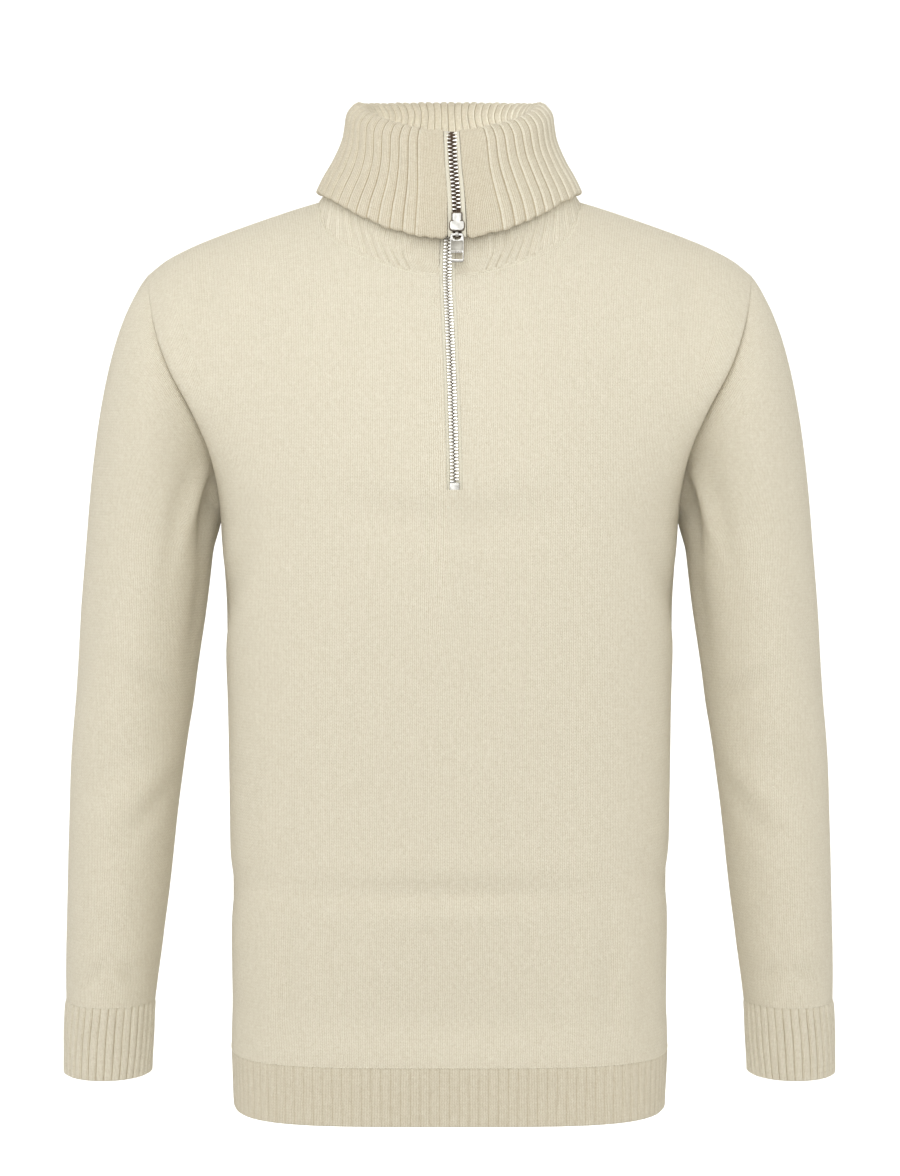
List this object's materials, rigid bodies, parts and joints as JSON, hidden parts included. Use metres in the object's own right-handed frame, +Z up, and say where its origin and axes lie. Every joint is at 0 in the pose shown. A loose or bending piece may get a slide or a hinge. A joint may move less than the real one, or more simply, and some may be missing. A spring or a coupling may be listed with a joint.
{
  "type": "half-zip sweater",
  "caption": "Long-sleeved knitted half-zip sweater with a ribbed fold-over collar, filled out as on a wearer, with a metal zip whose tab swings.",
  "frame": {"origin": "middle of the neck, level with the points where the shoulder seams meet the collar", "axes": "+Z up to the collar, -Y to the front with the zip, +X to the wearer's left arm"},
  "size_m": [0.5848, 0.2459, 0.759],
  "materials": {
    "knit": "matte plain knit in cream wool",
    "rib": "matte ribbed knit in cream wool",
    "tape": "matte woven tape",
    "zip_metal": "bright nickel, softly brushed on the tab"
  },
  "bodies": {
    "garment": {"front": "knit", "back": "knit", "sleeve_left": "knit", "sleeve_right": "knit", "cuff_left": "rib", "cuff_right": "rib", "hem_front": "rib", "hem_back": "rib", "collar": "rib", "zip_tape_left": "tape", "zip_tape_right": "tape", "zip_chain_body": "zip_metal", "zip_chain_fall": "zip_metal", "zip_stop": "zip_metal", "zip_slider": "zip_metal"},
    "pull_tab": {"pull_tab": "zip_metal"}
  },
  "joints": [
    {"name": "tab_swing", "type": "hinge", "parent": "garment", "child": "pull_tab", "pos_m": [0.00543, -0.09165, -0.0286], "axis": [-1, 0, 0], "range_deg": [0, 160]}
  ]
}
